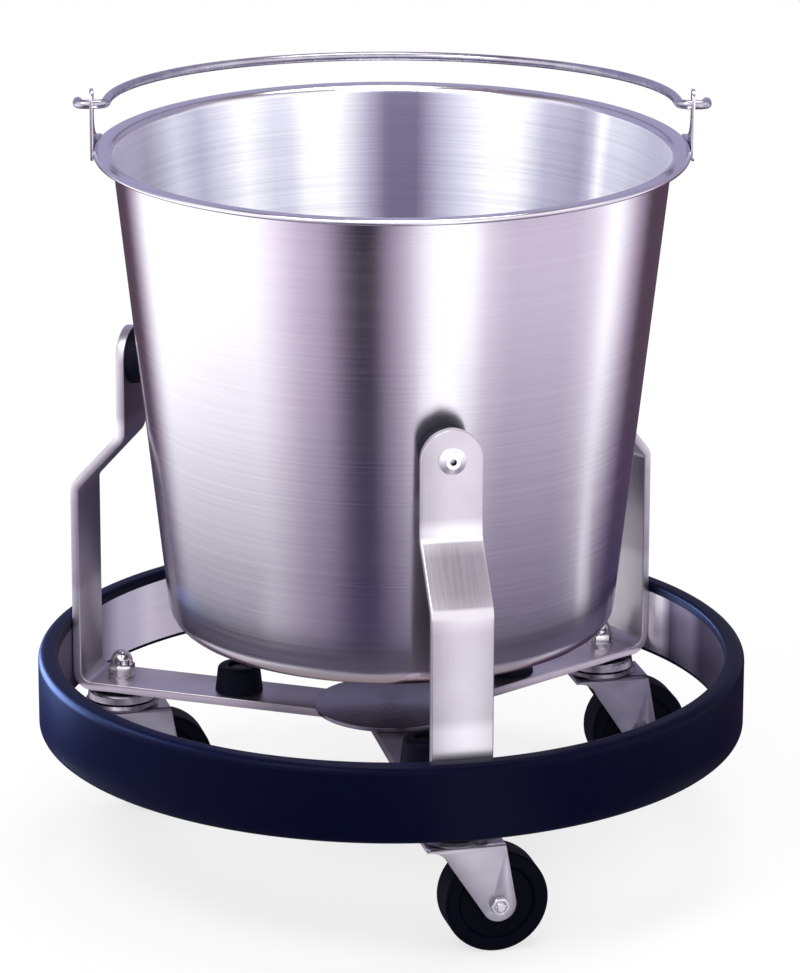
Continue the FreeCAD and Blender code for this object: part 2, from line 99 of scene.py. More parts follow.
DISC_EDGE = 0.6 * MM
BUMPER_TOP_INNER_EDGE = 2.2 * MM
BUMPER_TOP_OUTER_EDGE = 4.4 * MM
BUMPER_LOW_OUTER_EDGE = 3 * MM
BUMPER_LOW_INNER_EDGE = 0.9 * MM

CASTER_INSET = 22 * MM
CASTER_RADIUS = LOWER_FACE - CASTER_INSET
TRAIL = 21 * MM
TRAIL_AZIMUTH = 13.5
WHEEL_RADIUS = 27 * MM
AXLE_HEIGHT = WHEEL_RADIUS
WHEEL_HALF = 10 * MM
WHEEL_HUB_HALF = 11.2 * MM
WHEEL_HUB_RADIUS = 9 * MM
WHEEL_DISH_RADIUS = 19.8 * MM
WHEEL_DISH_DEPTH = 1.6 * MM
WHEEL_BORE = 4.83 * MM
WHEEL_EDGE = 1 * MM
TREAD_EDGE = 2.2 * MM

BLOCK_BOTTOM_RADIUS = 12.8 * MM
BLOCK_TOP_RADIUS = 11.2 * MM
BLOCK_EDGE = 2.4 * MM
BLOCK_BORE = 2.4 * MM
BLOCK_RECESS = 4.2 * MM
BLOCK_RECESS_RADIUS = 5.8 * MM
BLOCK_RECESS_EDGE = 0.5 * MM

EAR_THICKNESS = 1.6 * MM
HOOK_GAP = 4.2 * MM
BAIL_WIRE = 2.4 * MM
BAIL_INSIDE_RIM = 6.4 * MM
BAIL_RADIUS = RIM_RADIUS - BAIL_INSIDE_RIM
BAIL_END_BEND = 6 * MM
BAIL_HOOK_RADIUS = RIM_RADIUS + EAR_THICKNESS + HOOK_GAP + BAIL_WIRE
BAIL_HOOK_BEND = 4.4 * MM
BAIL_HOOK_LENGTH = 9 * MM
BAIL_DROOP = 3.1
PIVOT_ABOVE_RIM = 22.3 * MM
PIVOT_HEIGHT = RIM_HEIGHT + PIVOT_ABOVE_RIM
BAIL_STEPS = 96
WIRE_SIDES = 20

FORK_EDGE = 0.5 * MM
DOME_NUT_EDGE = 0.25 * MM
AXLE_NUT_EDGE = 0.2 * MM
WALL_PAD_EDGE = 0.8 * MM
EAR_EDGE = 0.35 * MM

LARGE_ROUND = 256
WHEEL_ROUND = 128
DISC_ROUND = 96
SMALL_ROUND = 64


# ---- mesh helpers ------------------------------------------------------------------------

def rounded_path(corners, closed=False, steps=6):
    """Points along a flat path (u, v, radius), with each rounded corner sampled as an arc."""
    count = len(corners)
    points = []
    for index, (u, v, radius) in enumerate(corners):
        here = Vector((u, v))
        inner = closed or 0 < index < count - 1
        if radius <= 0 or not inner:
            points.append(here)
            continue
        back = (Vector(corners[index - 1][:2]) - here).normalized()
        ahead = (Vector(corners[(index + 1) % count][:2]) - here).normalized()
        half = back.angle(ahead) / 2
        centre = here + (back + ahead).normalized() * (radius / math.sin(half))
        start = here + back * (radius / math.tan(half)) - centre
        sweep = math.pi - 2 * half
        if back.x * ahead.y - back.y * ahead.x > 0:
            sweep = -sweep
        for step in range(steps + 1):
            angle = sweep * step / steps
            points.append(centre + Vector((start.x * math.cos(angle) - start.y * math.sin(angle),
                                           start.x * math.sin(angle) + start.y * math.cos(angle))))
    return points


def offset_path(corners, distance):
    """Corners of a flat path moved to its left, with the bend radii following."""
    moved = []
    for index, (u, v, radius) in enumerate(corners):
        here = Vector((u, v))
        directions = []
        if index > 0:
            directions.append((here - Vector(corners[index - 1][:2])).normalized())
        if index < len(corners) - 1:
            directions.append((Vector(corners[index + 1][:2]) - here).normalized())
        first, last = directions[0], directions[-1]
        normal_first = Vector((-first.y, first.x))
        normal_last = Vector((-last.y, last.x))
        mitre = (normal_first + normal_last) * (distance / (1 + normal_first.dot(normal_last)))
        turn = first.x * last.y - first.y * last.x
        new_radius = radius - math.copysign(distance, turn) if radius > 0 else 0
        moved.append((u + mitre.x, v + mitre.y, new_radius))
    return moved


def subdivided(points, longest):
    """The path with its long runs cut into lengths of at most longest."""
    result = [points[0]]
    for start, end in zip(points, points[1:]):
        cuts = max(1, math.ceil((end - start).length / longest))
        result += [start.lerp(end, cut / cuts) for cut in range(1, cuts + 1)]
    return result


def path_frames(path):
    """Each point of a flat path with the unit vector across the path there."""
    for index, point in enumerate(path):
        before = path[max(index - 1, 0)]
        after = path[min(index + 1, len(path) - 1)]
        along = (after - before).normalized()
        yield point, Vector((-along.y, along.x))


ON_AXIS = 1e-7


def lathed(name, profile, segments, closed=False):
    """Mesh turned about Z from (radius, height) points; closed joins the last to the first."""
    mesh = bpy.data.meshes.new(name)
    work = bmesh.new()
    rings = []
    for point in profile:
        if point.x < ON_AXIS:
            rings.append([work.verts.new((0, 0, point.y))])
            continue
        rings.append([work.verts.new((point.x * math.cos(turn), point.x * math.sin(turn), point.y))
                      for turn in (2 * math.pi * index / segments for index in range(segments))])
    pairs = list(zip(rings, rings[1:]))
    if closed:
        pairs.append((rings[-1], rings[0]))
    for low, high in pairs:
        for index in range(segments):
            follows = (index + 1) % segments
            corners = [low[index % len(low)], low[follows % len(low)],
                       high[follows % len(high)], high[index % len(high)]]
            unique = list(dict.fromkeys(corners))
            if len(unique) > 2:
                work.faces.new(unique)
    bmesh.ops.recalc_face_normals(work, faces=work.faces)
    work.to_mesh(mesh)
    work.free()
    return mesh


def swept(name, sections):
    """Closed skin through a row of equal rings of points, capped at both ends."""
    mesh = bpy.data.meshes.new(name)
    work = bmesh.new()
    rings = [[work.verts.new(point) for point in section] for section in sections]
    count = len(rings[0])
    for near, far in zip(rings, rings[1:]):
        for index in range(count):
            follows = (index + 1) % count
            work.faces.new((near[index], near[follows], far[follows], far[index]))
    work.faces.new(rings[0][::-1])
    work.faces.new(rings[-1])
    bmesh.ops.recalc_face_normals(work, faces=work.faces)
    work.to_mesh(mesh)
    work.free()
    return mesh


def turn_to(mesh, azimuth):
    """Turns a mesh about Z, by degrees."""
    mesh.transform(Matrix.Rotation(math.radians(azimuth), 4, "Z"))


def move_to_caster(mesh, side):
    """Moves a mesh modelled about the swivel axis under its leg, turned to the trail."""
    azimuth = math.radians(LEG_AZIMUTHS[side])
    place = Vector((CASTER_RADIUS * math.cos(azimuth), CASTER_RADIUS * math.sin(azimuth), 0))
    mesh.transform(Matrix.Translation(place) @ Matrix.Rotation(math.radians(TRAIL_AZIMUTH), 4, "Z"))


def break_edges(piece, width, sharp):
    """Breaks the piece's sharp edges with a bevel, applied to its mesh."""
    rounding = piece.modifiers.new("edge", "BEVEL")
    rounding.width = width
    rounding.segments = 2
    rounding.limit_method = "ANGLE"
    rounding.angle_limit = math.radians(sharp)
    rounding.harden_normals = False
    bpy.context.view_layer.update()
    graph = bpy.context.evaluated_depsgraph_get()
    result = bpy.data.meshes.new_from_object(piece.evaluated_get(graph))
    piece.modifiers.clear()
    piece.data = result


def shade(piece, angle):
    """Smooth shading that keeps edges sharper than the angle."""
    mesh = piece.data
    mesh.shade_smooth()
    work = bmesh.new()
    work.from_mesh(mesh)
    limit = math.radians(angle)
    for edge in work.edges:
        if len(edge.link_faces) == 2:
            edge.smooth = edge.calc_face_angle(0) < limit
    work.to_mesh(mesh)
    work.free()


def finished(name, mesh, material, body, node, smooth=35, bevel=0.0):
    """Object from a mesh, with its material, shading and body, and the node it stands for."""
    mesh.materials.append(material)
    piece = bpy.data.objects.new(name, mesh)
    bpy.context.scene.collection.objects.link(piece)
    if bevel:
        break_edges(piece, bevel, smooth)
    shade(piece, smooth)
    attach(piece, body)
    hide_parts(node)


WELD_DISTANCE = 2e-6


def softened(node, bevel, material, body, flat=0.6):
    """Copy of a CAD node with merged facets and its sharp edges broken by a bevel."""
    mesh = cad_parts[node].data.copy()
    mesh.materials.clear()
    work = bmesh.new()
    work.from_mesh(mesh)
    bmesh.ops.remove_doubles(work, verts=work.verts, dist=WELD_DISTANCE)
    bmesh.ops.dissolve_limit(work, angle_limit=math.radians(flat), verts=work.verts, edges=work.edges)
    work.to_mesh(mesh)
    work.free()
    for name in [attribute.name for attribute in mesh.attributes if "normal" in attribute.name]:
        mesh.attributes.remove(mesh.attributes[name])
    finished(node + "_finish", mesh, material, body, node, smooth=28, bevel=bevel)


def dressed(node, material):
    """A CAD node that keeps its shape, with its finish."""
    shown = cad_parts[node]
    shown.data.materials.clear()
    shown.data.materials.append(material)


# ---- shader helpers ----------------------------------------------------------------------

class Graph:
    """Short way to add and link nodes in a material or a group."""

    def __init__(self, tree):
        self.tree = tree

    def feed(self, node, inputs):
        """Links or sets the inputs of a node, given by name or number."""
        for socket, value in inputs.items():
            if isinstance(value, bpy.types.NodeSocket):
                self.tree.links.new(value, node.inputs[socket])
            else:
                node.inputs[socket].default_value = value

    def add(self, kind, inputs=None, **settings):
        node = self.tree.nodes.new(kind)
        for name, value in settings.items():
            setattr(node, name, value)
        self.feed(node, inputs or {})
        return node

    def math(self, operation, *values):
        return self.add("ShaderNodeMath", dict(enumerate(values)), operation=operation).outputs[0]

    def blend(self, factor, first, second):
        """Colour between two colours."""
        return self.add("ShaderNodeMix", {0: factor, 6: first, 7: second}, data_type="RGBA").outputs[2]

    def product(self, first, second):
        """Two colours multiplied."""
        return self.add("ShaderNodeMix", {0: 1.0, 6: first, 7: second}, data_type="RGBA",
                        blend_type="MULTIPLY").outputs[2]

    def between(self, value, low, high, new_low=0.0, new_high=1.0):
        """Value mapped from low and high to two new ends, and held there."""
        return self.add("ShaderNodeMapRange", {"Value": value, "From Min": low, "From Max": high,
                                               "To Min": new_low, "To Max": new_high}).outputs[0]

    def noise(self, vector, scale, detail=3.0, rough=0.5):
        return self.add("ShaderNodeTexNoise", {"Vector": vector, "Scale": scale, "Detail": detail,
                                               "Roughness": rough}).outputs[0]

    def split(self, vector):
        return self.add("ShaderNodeSeparateXYZ", {0: vector}).outputs

    def joined(self, x, y, z):
        return self.add("ShaderNodeCombineXYZ", {0: x, 1: y, 2: z}).outputs[0]

    def at(self, kind="Object"):
        """Texture coordinates of a kind."""
        return self.add("ShaderNodeTexCoord").outputs[kind]

    def dot(self, x, y, other_x, other_y):
        return self.math("ADD", self.math("MULTIPLY", x, other_x), self.math("MULTIPLY", y, other_y))

    def radius(self, x, y):
        return self.math("SQRT", self.dot(x, y, x, y))

    def distance(self, value, middle):
        return self.math("ABSOLUTE", self.math("SUBTRACT", value, middle))

    def tones(self, angle, stops):
        """Colour by an angle in radians, from (degrees, colour) stops from -180 to 180."""
        ramp = self.add("ShaderNodeValToRGB", {"Fac": self.between(angle, -math.pi, math.pi)})
        elements = ramp.color_ramp.elements
        while len(elements) > 1:
            elements.remove(elements[-1])
        for index, (degrees, colour) in enumerate(stops):
            spot = (degrees + 180) / 360
            stop = elements[0] if index == 0 else elements.new(spot)
            stop.position = spot
            stop.color = colour
        return ramp.outputs[0]


FLOAT = "NodeSocketFloat"
VECTOR = "NodeSocketVector"


def new_group(name, inputs, outputs):
    """Shader group with float and vector sockets; returns it with its graph and its two ends."""
    group = bpy.data.node_groups.new(name, "ShaderNodeTree")
    for label, kind, value in inputs:
        socket = group.interface.new_socket(name=label, in_out="INPUT", socket_type=kind)
        if value is not None:
            socket.default_value = value
    for label in outputs:
        group.interface.new_socket(name=label, in_out="OUTPUT", socket_type=FLOAT)
    graph = Graph(group)
    return group, graph, graph.add("NodeGroupInput"), graph.add("NodeGroupOutput")


NEAR_AXIS = 1 * MM


def round_grain_group():
    """Brush marks that run round the Z axis: streak value, broad cloud and a fine height."""
    group, g, entry, result = new_group(
        "round_grain",
        [("Position", VECTOR, None), ("Lines per metre", FLOAT, 900.0), ("Turns", FLOAT, 0.9)],
        ["Streak", "Cloud", "Height"])
    x, y, z = g.split(entry.outputs["Position"])
    radius = g.radius(x, y)
    safe = g.math("MAXIMUM", radius, NEAR_AXIS)
    turns = entry.outputs["Turns"]
    round_x = g.math("MULTIPLY", g.math("DIVIDE", x, safe), turns)
    round_y = g.math("MULTIPLY", g.math("DIVIDE", y, safe), turns)
    across = g.math("MULTIPLY", g.math("ADD", z, radius), entry.outputs["Lines per metre"])
    lines = g.joined(round_x, round_y, across)
    g.feed(result, {"Streak": g.noise(lines, scale=1.0, detail=2.0),
                    "Cloud": g.noise(entry.outputs["Position"], scale=14.0),
                    "Height": g.noise(lines, scale=1.7, detail=1.0)})
    return group


def flat_grain_group():
    """Brush marks along V of the UV map: streak value, broad cloud and a fine height."""
    group, g, entry, result = new_group(
        "flat_grain",
        [("Across and along", VECTOR, None), ("Lines per metre", FLOAT, 1400.0),
         ("Marks per metre", FLOAT, 25.0)],
        ["Streak", "Cloud", "Height"])
    u, v, depth = g.split(entry.outputs["Across and along"])
    across = g.math("MULTIPLY", u, entry.outputs["Lines per metre"])
    along = g.math("MULTIPLY", v, entry.outputs["Marks per metre"])
    lines = g.joined(across, along, depth)
    g.feed(result, {"Streak": g.noise(lines, scale=1.0, detail=4.0, rough=0.6),
                    "Cloud": g.noise(entry.outputs["Across and along"], scale=40.0),
                    "Height": g.noise(lines, scale=2.1, detail=2.0)})
    return group


PATCH_EDGE = (0.52, 0.75)


def scuff_group():
    """Dull scuffs and dust on rubber: a soft mask and a fine height."""
    group, g, entry, result = new_group(
        "scuffs",
        [("Position", VECTOR, None), ("Patches per metre", FLOAT, 60.0), ("Amount", FLOAT, 0.5)],
        ["Mask", "Height"])
    patches = g.noise(entry.outputs["Position"], entry.outputs["Patches per metre"], detail=5.0, rough=0.6)
    fine = g.noise(entry.outputs["Position"], scale=1800.0, detail=2.0)
    patched = g.math("MULTIPLY", g.between(patches, *PATCH_EDGE), fine)
    g.feed(result, {"Mask": g.math("MULTIPLY", patched, entry.outputs["Amount"]), "Height": fine})
    return group


ROUND_GRAIN = round_grain_group()
FLAT_GRAIN = flat_grain_group()
SCUFFS = scuff_group()


def new_material(name):
    """Material with an empty tree, its principled shader linked to the output."""
    material = bpy.data.materials.new(name)
    material.use_nodes = True
    material.node_tree.nodes.clear()
    g = Graph(material.node_tree)
    shader = g.add("ShaderNodeBsdfPrincipled")
    g.add("ShaderNodeOutputMaterial", {0: shader.outputs[0]})
    return material, g, shader


# ---- finishes ----------------------------------------------------------------------------

NARROW = (0.35, 0.65)
MIDDLE = (0.3, 0.7)
WIDE = (0.25, 0.75)
METAL_RELIEF = 0.2 * MM
RUBBER_RELIEF = 0.3 * MM
QUARTER_TURN = 0.25


def round_steel(name, dark, light, rough, lines, bump, aniso):
    """Stainless steel brushed round the Z axis; also gives what a finer finish builds on."""
    material, g, shader = new_material(name)
    grain = g.add("ShaderNodeGroup", {"Position": g.at(), "Lines per metre": lines}, node_tree=ROUND_GRAIN)
    marks = grain.outputs["Streak"]
    tone = g.math("ADD", g.math("MULTIPLY", marks, 0.6), g.math("MULTIPLY", grain.outputs["Cloud"], 0.4))
    colour = g.blend(g.between(tone, *MIDDLE), dark, light)
    roughness = g.between(marks, *WIDE, rough - 0.02, rough + 0.03)
    relief = g.add("ShaderNodeBump", {"Height": grain.outputs["Height"], "Strength": bump,
                                      "Distance": METAL_RELIEF})
    tangent = g.add("ShaderNodeTangent", direction_type="RADIAL", axis="Z")
    g.feed(shader, {"Metallic": 1.0, "Anisotropic": aniso, "Anisotropic Rotation": QUARTER_TURN,
                    "Base Color": colour, "Roughness": roughness,
                    "Normal": relief.outputs[0], "Tangent": tangent.outputs[0]})
    return material, g, shader, colour, roughness, g.between(marks, *NARROW)


WHITE = (1.0, 1.0, 1.0, 1)
SILVER = (0.70, 0.70, 0.78, 1)
MIST = (0.50, 0.49, 0.60, 1)
DUSK = (0.36, 0.34, 0.44, 1)
SLATE = (0.13, 0.115, 0.19, 1)
# Painted reflections inside the pail: light and dark bands by angle from the back.
INSIDE_REFLECTION_BANDS = (
    (-180, MIST), (-90, DUSK), (-66, DUSK), (-54, SILVER), (-46, MIST), (-40, SILVER), (-34, WHITE),
    (-27, SILVER), (-23, SILVER), (-19, WHITE), (-13, WHITE), (-5, DUSK), (-1, SLATE), (6, SLATE),
    (10, DUSK), (17, SILVER), (23, WHITE), (29, WHITE), (36, MIST), (46, DUSK), (49, MIST),
    (52, WHITE), (55, SILVER), (62, SILVER), (72, MIST), (90, MIST), (180, MIST))
# Painted reflections on the hoop band: light and dark bands by angle from the back.
HOOP_REFLECTION_BANDS = (
    (-180, MIST), (-130, MIST), (-75, SLATE), (-67, SLATE), (-58, SILVER), (-53, SILVER), (-49, WHITE),
    (-43, WHITE), (-38, SILVER), (0, MIST), (48, SILVER), (54, WHITE), (58, WHITE), (60, SLATE),
    (63, DUSK), (68, MIST), (72, SLATE), (110, MIST), (150, SILVER), (180, MIST))


def band_steel_material():
    """Hoop band brushed round, with painted reflections: light and dark bands by angle from the back."""
    material, g, shader, colour, *_ = round_steel(
        "band_steel", dark=(0.90, 0.87, 0.92, 1), light=(0.97, 0.94, 0.99, 1),
        rough=0.38, lines=900.0, bump=0.02, aniso=0.5)
    x, y, _ = g.split(g.at())
    # The painted reflection bands multiply the brushed colour.
    tones = g.tones(g.math("ARCTAN2", x, y), HOOP_REFLECTION_BANDS)
    g.feed(shader, {"Base Color": g.product(colour, tones)})
    return material


INSIDE_BELOW = RIM_HEIGHT - 3 * MM
INSIDE_METAL = 0.3
INSIDE_ROUGHER = 0.15
INSIDE_WORN = (0.86, 0.86, 0.88, 1)
FACES_INWARD = -0.01
FACES_UP_FROM = 0.3
FACES_UP_FULL = 0.8
# Painted reflection: a dark reddish line round the outside of the pail's base corner.
FOOT_REFLECTION = (0.50, 0.37, 0.38, 1)
FOOT_REFLECTION_FROM = PAIL_BASE + 9 * MM
FOOT_REFLECTION_FULL = PAIL_BASE + 3 * MM


def pail_steel_material():
    """Outside brushed bright, with a painted reflection at the foot; inside paler and softer, with painted
    reflection bands by angle from the back.
    """
    material, g, shader, colour, roughness, streak = round_steel(
        "pail_steel", dark=(0.69, 0.66, 0.71, 1), light=(0.76, 0.735, 0.79, 1),
        rough=0.18, lines=900.0, bump=0.02, aniso=0.75)
    x, y, height = g.split(g.at())
    across, ahead, upward = g.split(g.at("Normal"))
    below_rim = g.math("LESS_THAN", height, INSIDE_BELOW)
    faces_in = g.math("MAXIMUM", g.math("LESS_THAN", g.dot(x, y, across, ahead), FACES_INWARD),
                      g.math("GREATER_THAN", upward, FACES_UP_FROM))
    inside = g.math("MULTIPLY", faces_in, below_rim)
    # Painted reflection bands inside; faces that look up inside take the plain dusk tone in their place.
    tones = g.tones(g.math("ARCTAN2", x, y), INSIDE_REFLECTION_BANDS)
    tones = g.blend(g.between(upward, FACES_UP_FROM, FACES_UP_FULL), tones, DUSK)
    worn = g.blend(streak, INSIDE_WORN, WHITE)
    # Painted reflection at the foot of the outside wall.
    foot = g.between(height, FOOT_REFLECTION_FROM, FOOT_REFLECTION_FULL)
    outer = g.blend(foot, colour, FOOT_REFLECTION)
    rougher = g.math("MULTIPLY", inside, INSIDE_ROUGHER)
    g.feed(shader, {"Base Color": g.blend(inside, outer, g.product(tones, worn)),
                    "Metallic": g.between(inside, 0, 1, 1.0, INSIDE_METAL),
                    "Roughness": g.math("ADD", roughness, rougher)})
    return material


# Painted highlights on the legs: at the two joggle bends, faintly down the upright, and in a brighter step
# just above the hoop.
PAINTED_HIGHLIGHT = (0.96, 0.94, 0.97, 1)
HIGHLIGHT_TOP = 178 * MM
HIGHLIGHT_LOW = 127 * MM
HIGHLIGHT_FAINT = 0.05
HIGHLIGHT_STEP_FROM = HIGHLIGHT_LOW + 4 * MM
HIGHLIGHT_STEP_FULL = HIGHLIGHT_LOW - 2 * MM
HIGHLIGHT_STEP = 0.5
HIGHLIGHT_REACH = 9 * MM
HIGHLIGHTED_BENDS = ((JOGGLE_TOP + 3 * MM, 0.8), (JOGGLE_BOTTOM, 0.3))
# Painted shade: on the bars' inner faces, and on the feet near the hub.
PAINTED_SHADE = (0.02, 0.018, 0.025, 1)
INSIDE_FACE_SHADE = 0.42
INSIDE_FACE_SHADE_FROM = -0.05
INSIDE_FACE_SHADE_FULL = -0.1
FOOT_SHADE_BY_HUB = 0.5
HUB_REACH = 62 * MM
HUB_FADE = 30 * MM
FOOT_LEFT_BELOW = BAR_TOP + 4 * MM
UPRIGHT_FROM = BAR_TOP + 14 * MM


def bar_steel_material():
    """Bar brushed along V of its UV map, with painted highlights at the bends and above the hoop, and
    painted shade on its inner faces and on the feet by the hub.
    """
    material, g, shader = new_material("bar_steel")
    grain = g.add("ShaderNodeGroup", {"Across and along": g.at("UV"), "Lines per metre": 900.0},
                  node_tree=FLAT_GRAIN)
    marks = grain.outputs["Streak"]
    tone = g.math("ADD", g.math("MULTIPLY", marks, 0.4), g.math("MULTIPLY", grain.outputs["Cloud"], 0.6))
    colour = g.blend(g.between(tone, *MIDDLE), (0.55, 0.515, 0.56, 1), (0.65, 0.615, 0.66, 1))
    x, y, height = g.split(g.at())
    across, ahead, _ = g.split(g.at("Normal"))
    # Painted highlight: faint down the upright, a brighter step above the hoop, and bands at the two joggle
    # bends.
    highlight = g.math("ADD", g.between(height, HIGHLIGHT_TOP, HIGHLIGHT_LOW, 0.0, HIGHLIGHT_FAINT),
                    g.between(height, HIGHLIGHT_STEP_FROM, HIGHLIGHT_STEP_FULL, 0.0, HIGHLIGHT_STEP))
    for bend, amount in HIGHLIGHTED_BENDS:
        at_bend = g.between(g.distance(height, bend), HIGHLIGHT_REACH, HIGHLIGHT_REACH / 3, 0.0, amount)
        highlight = g.math("MAXIMUM", highlight, at_bend)
    upright = g.between(height, FOOT_LEFT_BELOW, UPRIGHT_FROM)
    colour = g.blend(g.math("MULTIPLY", highlight, upright), colour, PAINTED_HIGHLIGHT)
    # Painted shade on the inner faces, then on the feet near the hub.
    outward = g.dot(x, y, across, ahead)
    colour = g.blend(g.between(outward, INSIDE_FACE_SHADE_FROM, INSIDE_FACE_SHADE_FULL, 0.0, INSIDE_FACE_SHADE), colour, PAINTED_SHADE)
    shade_by_hub = g.between(g.radius(x, y), HUB_REACH + HUB_FADE, HUB_REACH, 0.0, FOOT_SHADE_BY_HUB)
    colour = g.blend(g.math("MULTIPLY", shade_by_hub, g.math("SUBTRACT", 1.0, upright)), colour, PAINTED_SHADE)
    relief = g.add("ShaderNodeBump", {"Height": grain.outputs["Height"], "Strength": 0.05,
                                      "Distance": METAL_RELIEF})
    g.feed(shader, {"Metallic": 1.0, "Anisotropic": 0.3, "Base Color": colour,
                    "Roughness": g.between(marks, *WIDE, 0.30, 0.37), "Normal": relief.outputs[0]})
    return material


def plain_metal(name, dark, light, rough, spots):
    """Plated or tumbled metal with faint clouding."""
    material, g, shader = new_material(name)
    cloud = g.noise(g.at(), spots, detail=2.0)
    g.feed(shader, {"Metallic": 1.0, "Base Color": g.blend(g.between(cloud, *NARROW), dark, light),
                    "Roughness": g.between(cloud, *MIDDLE, rough - 0.04, rough + 0.05)})
    return material


RIVET_PALE = (0.89, 0.87, 0.91, 1)
RIVET_HOLE_SHADE = (0.035, 0.025, 0.04, 1)
RIVET_CENTRE = 1.75 * MM
RIVET_CENTRE_FADE = 0.22 * MM


def rivet_steel_material():
    """Pale rivet heads, with painted shade in the drilled centre of each."""
    material, g, shader = new_material("rivet_steel")
    x, y, height = g.split(g.at())
    beside = None
    for azimuth in LEG_AZIMUTHS.values():
        turn = math.radians(azimuth)
        offset = g.distance(g.math("MULTIPLY", x, math.sin(turn)), g.math("MULTIPLY", y, math.cos(turn)))
        beside = offset if beside is None else g.math("MINIMUM", beside, offset)
    away = g.radius(beside, g.math("SUBTRACT", height, RIVET_HEIGHT))
    # Painted shade in the drilled centre of the head.
    centre = g.between(away, RIVET_CENTRE, RIVET_CENTRE - RIVET_CENTRE_FADE)
    g.feed(shader, {"Metallic": 1.0, "Base Color": g.blend(centre, RIVET_PALE, RIVET_HOLE_SHADE),
                    "Roughness": g.between(centre, 0.0, 1.0, 0.42, 0.8)})
    return material


def rubber(name, colour, dusty, rough, amount, bump, gloss):
    """Moulded rubber with dull scuffs."""
    material, g, shader = new_material(name)
    wear = g.add("ShaderNodeGroup", {"Position": g.at(), "Amount": amount}, node_tree=SCUFFS)
    mask = wear.outputs["Mask"]
    relief = g.add("ShaderNodeBump", {"Height": wear.outputs["Height"], "Strength": bump,
                                      "Distance": RUBBER_RELIEF})
    g.feed(shader, {"Base Color": g.blend(mask, colour, dusty), "Specular IOR Level": gloss,
                    "Roughness": g.between(mask, 0.0, 0.6, rough, rough + 0.2),
                    "Normal": relief.outputs[0]})
    return material


def fork_steel(side, dark, light):
    """Plated fork; the two side forks get darker colours, painted shade for the shade of the pail they stand
    in.
    """
    return plain_metal("fork_steel_" + side, dark, light, rough=0.3, spots=60.0)


pail_steel = pail_steel_material()
band_steel = band_steel_material()
# Painted shade: the hub disc takes a much darker steel colour than the bars, for the shade and dark
# reflection of the pail's underside.
hub_steel, *_ = round_steel("hub_steel", dark=(0.13, 0.12, 0.155, 1), light=(0.19, 0.175, 0.22, 1),
                            rough=0.25, lines=700.0, bump=0.03, aniso=0.5)
bar_steel = bar_steel_material()
wire_steel = plain_metal("wire_steel", dark=(0.42, 0.40, 0.47, 1), light=(0.52, 0.50, 0.57, 1),
                         rough=0.24, spots=120.0)
rivet_steel = rivet_steel_material()
screw_black = plain_metal("screw_black", dark=(0.02, 0.02, 0.028, 1), light=(0.03, 0.03, 0.04, 1),
                          rough=0.45, spots=200.0)
# Painted shade: the right and left forks take darker colours than the front one, for the shade of the pail.
fork_steels = {"front": fork_steel("front", dark=(0.41, 0.39, 0.43, 1), light=(0.50, 0.48, 0.53, 1)),
               "right": fork_steel("right", dark=(0.20, 0.19, 0.245, 1), light=(0.26, 0.245, 0.31, 1)),
               "left": fork_steel("left", dark=(0.29, 0.27, 0.32, 1), light=(0.36, 0.34, 0.395, 1))}
fastener_steel = plain_metal("fastener_steel", dark=(0.62, 0.60, 0.65, 1), light=(0.68, 0.66, 0.71, 1),
                             rough=0.24, spots=150.0)
nut_chrome = plain_metal("nut_chrome", dark=(0.58, 0.55, 0.58, 1), light=(0.66, 0.63, 0.66, 1),
                         rough=0.11, spots=300.0)
# Painted shade: the races take a dark steel colour, for the shade under the bars.
race_steel = plain_metal("race_steel", dark=(0.20, 0.19, 0.23, 1), light=(0.30, 0.28, 0.33, 1),
                         rough=0.3, spots=300.0)
bumper_rubber = rubber("bumper_rubber", colour=(0.0010, 0.0016, 0.0135, 1), dusty=(0.005, 0.007, 0.022, 1),
                       rough=0.36, amount=0.3, bump=0.05, gloss=0.05)
pad_rubber = rubber("pad_rubber", colour=(0.0028, 0.0033, 0.011, 1), dusty=(0.006, 0.0065, 0.015, 1),
                    rough=0.5, amount=0.4, bump=0.1, gloss=0.08)
wheel_rubber = rubber("wheel_rubber", colour=(0.0010, 0.0012, 0.0055, 1), dusty=(0.004, 0.0045, 0.010, 1),
                      rough=0.4, amount=0.5, bump=0.08, gloss=0.04)


# ---- pail ---------------------------------------------------------------------------------

def make_pail():
    """Spun shell with its base panel, corner, tapered wall, flange and rolled hem."""
    outside = [(0, PAIL_BASE + PANEL_RISE, 0),
               (PANEL_RADIUS - PANEL_RISE, PAIL_BASE + PANEL_RISE, PANEL_BEND),
               (PANEL_RADIUS + PANEL_RISE, PAIL_BASE, PANEL_BEND),
               (PAIL_BASE_RADIUS, PAIL_BASE, PAIL_CORNER),
               (PAIL_TOP_RADIUS, RIM_HEIGHT - PAIL_WALL, RIM_FILLET),
               (FLANGE_END, RIM_HEIGHT - PAIL_WALL, 0)]
    inside = offset_path(outside, PAIL_WALL)
    hem_centre = Vector((RIM_RADIUS - HEM_RADIUS, RIM_HEIGHT - HEM_RADIUS))
    hem = [hem_centre + HEM_RADIUS * Vector((math.cos(angle), math.sin(angle)))
           for angle in map(math.radians, HEM_TURNS)]
    profile = subdivided(rounded_path(outside, steps=10), PAIL_LONGEST_RUN) + hem
    profile += subdivided(rounded_path(inside, steps=10), PAIL_LONGEST_RUN)[::-1][1:]
    name = "pail_shell_finish"
    mesh = lathed(name, profile, LARGE_ROUND)
    finished(name, mesh, pail_steel, "pail", "pail_shell", smooth=50)


